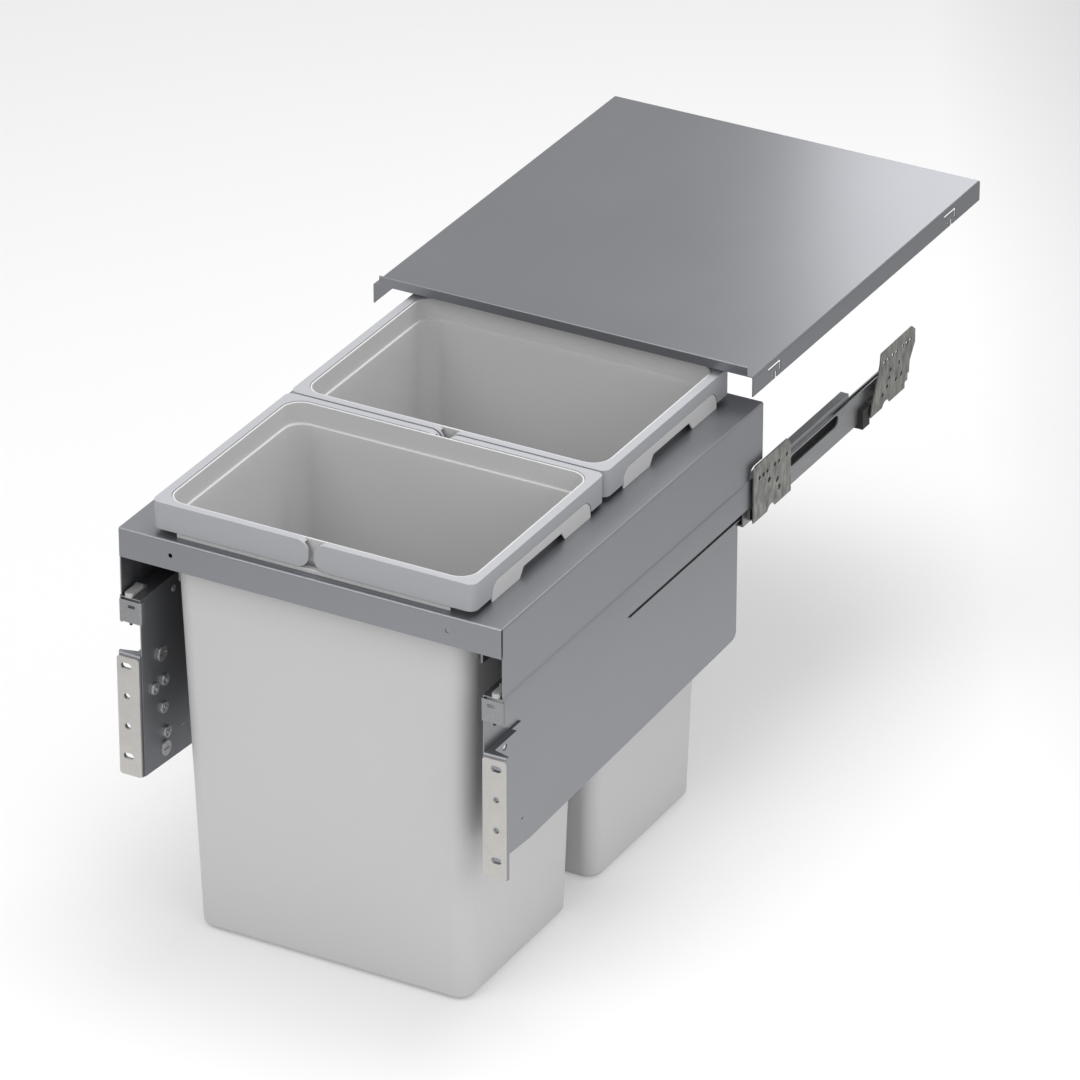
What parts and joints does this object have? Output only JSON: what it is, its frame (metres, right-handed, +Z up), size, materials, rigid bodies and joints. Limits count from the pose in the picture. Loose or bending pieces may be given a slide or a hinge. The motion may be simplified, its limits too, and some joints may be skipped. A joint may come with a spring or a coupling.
{
  "type": "pull out bin frame",
  "caption": "Sheet steel tray on full extension runners that carries waste bins with swing handles, with a fixed lid and adjustable door brackets.",
  "frame": {"origin": "on the front edge plane of the cabinet, midway between the cabinet sides, level with the top of the tray", "axes": "+X to the right seen from the front, +Y into the cabinet, +Z up; the frame pulls out along -Y"},
  "size_m": [0.412, 0.9627, 0.474],
  "materials": {
    "frame_paint": "silver grey powder coat, satin",
    "zinc_steel": "zinc plated, dull",
    "nickel_steel": "nickel plated, satin",
    "bright_steel": "bright steel",
    "black_plastic": "black, matte",
    "lid_paint": "silver grey paint, satin",
    "bin_plastic": "light grey, matte",
    "handle_plastic": "mid grey, matte"
  },
  "bodies": {
    "cabinet_side": {"cabinet_rail_left": "zinc_steel", "cabinet_rail_right": "zinc_steel", "front_wall_plate_left": "nickel_steel", "front_wall_plate_right": "nickel_steel", "rear_wall_plate_left": "nickel_steel", "rear_wall_plate_right": "nickel_steel", "rail_clip_left": "black_plastic", "rail_clip_right": "black_plastic", "wall_plate_rivets": "bright_steel", "lid": "lid_paint"},
    "carriage": {"frame_tray": "frame_paint", "cap_buffers": "black_plastic", "lever_pins": "bright_steel", "frame_rivets": "bright_steel", "side_plate_left": "frame_paint", "side_plate_right": "frame_paint", "drawer_rail_left": "zinc_steel", "drawer_rail_right": "zinc_steel", "rail_front_cap_left": "zinc_steel", "rail_front_cap_right": "zinc_steel"},
    "middle_rail_left": {"middle_rail_left": "zinc_steel"},
    "lower_cage_left": {"lower_cage_left": "black_plastic", "lower_rollers_left": "bright_steel"},
    "upper_cage_left": {"upper_cage_left": "black_plastic", "upper_rollers_left": "bright_steel"},
    "middle_rail_right": {"middle_rail_right": "zinc_steel"},
    "lower_cage_right": {"lower_cage_right": "black_plastic", "lower_rollers_right": "bright_steel"},
    "upper_cage_right": {"upper_cage_right": "black_plastic", "upper_rollers_right": "bright_steel"},
    "front_bin": {"front_bin": "bin_plastic"},
    "rear_bin": {"rear_bin": "bin_plastic"},
    "front_bin_handle_left": {"front_bin_handle_left": "handle_plastic"},
    "front_bin_handle_right": {"front_bin_handle_right": "handle_plastic"},
    "rear_bin_handle_left": {"rear_bin_handle_left": "handle_plastic"},
    "rear_bin_handle_right": {"rear_bin_handle_right": "handle_plastic"},
    "door_bracket_left": {"door_bracket_left": "nickel_steel", "bracket_arm_left": "frame_paint", "bracket_screws_left": "bright_steel"},
    "upper_cam_left": {"upper_cam_left": "nickel_steel"},
    "lower_cam_left": {"lower_cam_left": "nickel_steel"},
    "release_lever_left": {"release_lever_left": "bright_steel"},
    "door_bracket_right": {"door_bracket_right": "nickel_steel", "bracket_arm_right": "frame_paint", "bracket_screws_right": "bright_steel"},
    "upper_cam_right": {"upper_cam_right": "nickel_steel"},
    "lower_cam_right": {"lower_cam_right": "nickel_steel"},
    "release_lever_right": {"release_lever_right": "bright_steel"}
  },
  "joints": [
    {"name": "carriage_slide", "type": "slide", "parent": "cabinet_side", "child": "carriage", "axis": [0, -1, 0], "range_m": [-0.47, 0]},
    {"name": "middle_rail_left_slide", "type": "slide", "parent": "cabinet_side", "child": "middle_rail_left", "axis": [0, -1, 0], "range_m": [-0.235, 0]},
    {"name": "lower_cage_left_slide", "type": "slide", "parent": "cabinet_side", "child": "lower_cage_left", "axis": [0, -1, 0], "range_m": [-0.1175, 0]},
    {"name": "upper_cage_left_slide", "type": "slide", "parent": "cabinet_side", "child": "upper_cage_left", "axis": [0, -1, 0], "range_m": [-0.3525, 0]},
    {"name": "middle_rail_right_slide", "type": "slide", "parent": "cabinet_side", "child": "middle_rail_right", "axis": [0, -1, 0], "range_m": [-0.235, 0]},
    {"name": "lower_cage_right_slide", "type": "slide", "parent": "cabinet_side", "child": "lower_cage_right", "axis": [0, -1, 0], "range_m": [-0.1175, 0]},
    {"name": "upper_cage_right_slide", "type": "slide", "parent": "cabinet_side", "child": "upper_cage_right", "axis": [0, -1, 0], "range_m": [-0.3525, 0]},
    {"name": "front_bin_lift", "type": "slide", "parent": "carriage", "child": "front_bin", "axis": [0, 0, 1], "range_m": [0, 0.46]},
    {"name": "rear_bin_tilt", "type": "hinge", "parent": "carriage", "child": "rear_bin", "pos_m": [0, 0.0298, 0], "axis": [-1, 0, 0], "range_deg": [0, 5]},
    {"name": "front_bin_handle_left_raise", "type": "hinge", "parent": "front_bin", "child": "front_bin_handle_left", "pos_m": [-0.015, -0.34015, 0.01925], "axis": [0, 1, 0], "range_deg": [0, 88]},
    {"name": "front_bin_handle_right_raise", "type": "hinge", "parent": "front_bin", "child": "front_bin_handle_right", "pos_m": [0.015, -0.34015, 0.01925], "axis": [0, -1, 0], "range_deg": [0, 88]},
    {"name": "rear_bin_handle_left_raise", "type": "hinge", "parent": "rear_bin", "child": "rear_bin_handle_left", "pos_m": [-0.015, -0.09235, 0.01925], "axis": [0, 1, 0], "range_deg": [0, 1.5]},
    {"name": "rear_bin_handle_right_raise", "type": "hinge", "parent": "rear_bin", "child": "rear_bin_handle_right", "pos_m": [0.015, -0.09235, 0.01925], "axis": [0, -1, 0], "range_deg": [0, 1.5]},
    {"name": "door_bracket_left_adjust", "type": "slide", "parent": "carriage", "child": "door_bracket_left", "axis": [0, 0, 1], "range_m": [-0.002, 0.002]},
    {"name": "upper_cam_left_turn", "type": "hinge", "parent": "carriage", "child": "upper_cam_left", "pos_m": [-0.1806, -0.435, -0.1434], "axis": [1, 0, 0], "range_deg": [-60, 60]},
    {"name": "lower_cam_left_turn", "type": "hinge", "parent": "carriage", "child": "lower_cam_left", "pos_m": [-0.1806, -0.433, -0.245], "axis": [1, 0, 0], "range_deg": [-60, 60]},
    {"name": "release_lever_left_lift", "type": "hinge", "parent": "carriage", "child": "release_lever_left", "pos_m": [-0.193, -0.4472, -0.06975], "axis": [-1, 0, 0], "range_deg": [0, 8]},
    {"name": "door_bracket_right_adjust", "type": "slide", "parent": "carriage", "child": "door_bracket_right", "axis": [0, 0, 1], "range_m": [-0.002, 0.002]},
    {"name": "upper_cam_right_turn", "type": "hinge", "parent": "carriage", "child": "upper_cam_right", "pos_m": [0.1806, -0.435, -0.1434], "axis": [1, 0, 0], "range_deg": [-60, 60]},
    {"name": "lower_cam_right_turn", "type": "hinge", "parent": "carriage", "child": "lower_cam_right", "pos_m": [0.1806, -0.433, -0.245], "axis": [1, 0, 0], "range_deg": [-60, 60]},
    {"name": "release_lever_right_lift", "type": "hinge", "parent": "carriage", "child": "release_lever_right", "pos_m": [0.193, -0.4472, -0.06975], "axis": [-1, 0, 0], "range_deg": [0, 8]}
  ],
  "couplings": [
    {"joint": "middle_rail_left_slide", "follows": "carriage_slide", "ratio": 0.5},
    {"joint": "lower_cage_left_slide", "follows": "carriage_slide", "ratio": 0.25},
    {"joint": "upper_cage_left_slide", "follows": "carriage_slide", "ratio": 0.75},
    {"joint": "middle_rail_right_slide", "follows": "carriage_slide", "ratio": 0.5},
    {"joint": "lower_cage_right_slide", "follows": "carriage_slide", "ratio": 0.25},
    {"joint": "upper_cage_right_slide", "follows": "carriage_slide", "ratio": 0.75},
    {"joint": "upper_cam_left_turn", "follows": "door_bracket_left_adjust", "rad_per_m": 523.6},
    {"joint": "lower_cam_left_turn", "follows": "door_bracket_left_adjust", "rad_per_m": 523.6},
    {"joint": "upper_cam_right_turn", "follows": "door_bracket_right_adjust", "rad_per_m": 523.6},
    {"joint": "lower_cam_right_turn", "follows": "door_bracket_right_adjust", "rad_per_m": 523.6}
  ]
}
